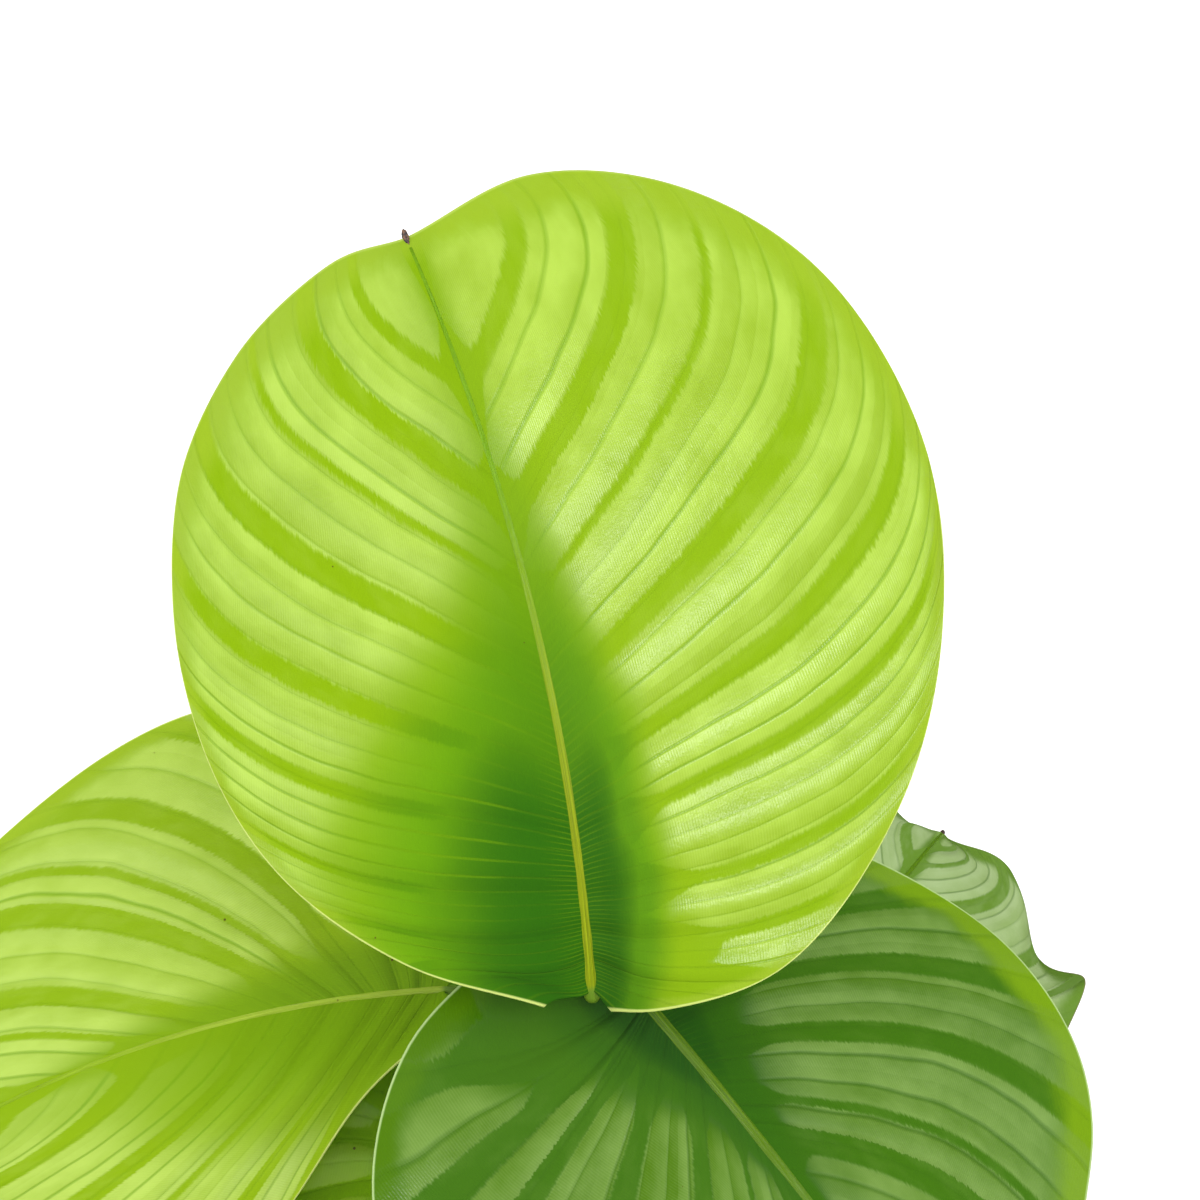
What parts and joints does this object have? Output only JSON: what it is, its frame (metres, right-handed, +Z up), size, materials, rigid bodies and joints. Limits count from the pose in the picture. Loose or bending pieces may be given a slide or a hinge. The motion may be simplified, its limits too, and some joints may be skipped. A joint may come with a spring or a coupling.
{
  "type": "potted calathea",
  "caption": "Free-standing house plant: long-stalked, nearly round leaves with striped blades rising from a plain tapered pot of soil.",
  "frame": {"origin": "centre of the pot's flat base, on the surface it stands on", "axes": "+Z up the plant, -Y towards the viewer of the picture, +X to that viewer's right"},
  "size_m": [0.4691, 0.4811, 0.5576],
  "materials": {
    "pot": "satin",
    "soil": "matte",
    "leaf_lime": "satin",
    "leaf_yellow_green": "satin",
    "leaf_silver_banded": "satin",
    "leaf_grey_green": "satin",
    "leaf_olive": "satin",
    "leaf_green": "satin",
    "stalk": "satin",
    "dried_tip": "matte",
    "soil_grains": "matte"
  },
  "bodies": {
    "root": {"pot": "pot", "soil": "soil", "leaf_main": "leaf_lime", "leaf_left": "leaf_yellow_green", "leaf_front_right": "leaf_silver_banded", "leaf_right_back": "leaf_grey_green", "leaf_front_left": "leaf_olive", "leaf_back_left": "leaf_green", "leaf_back": "leaf_green", "leaf_right_low": "leaf_green", "leaf_front_low": "leaf_silver_banded", "leaf_left_low": "leaf_green"}
  },
  "joints": []
}
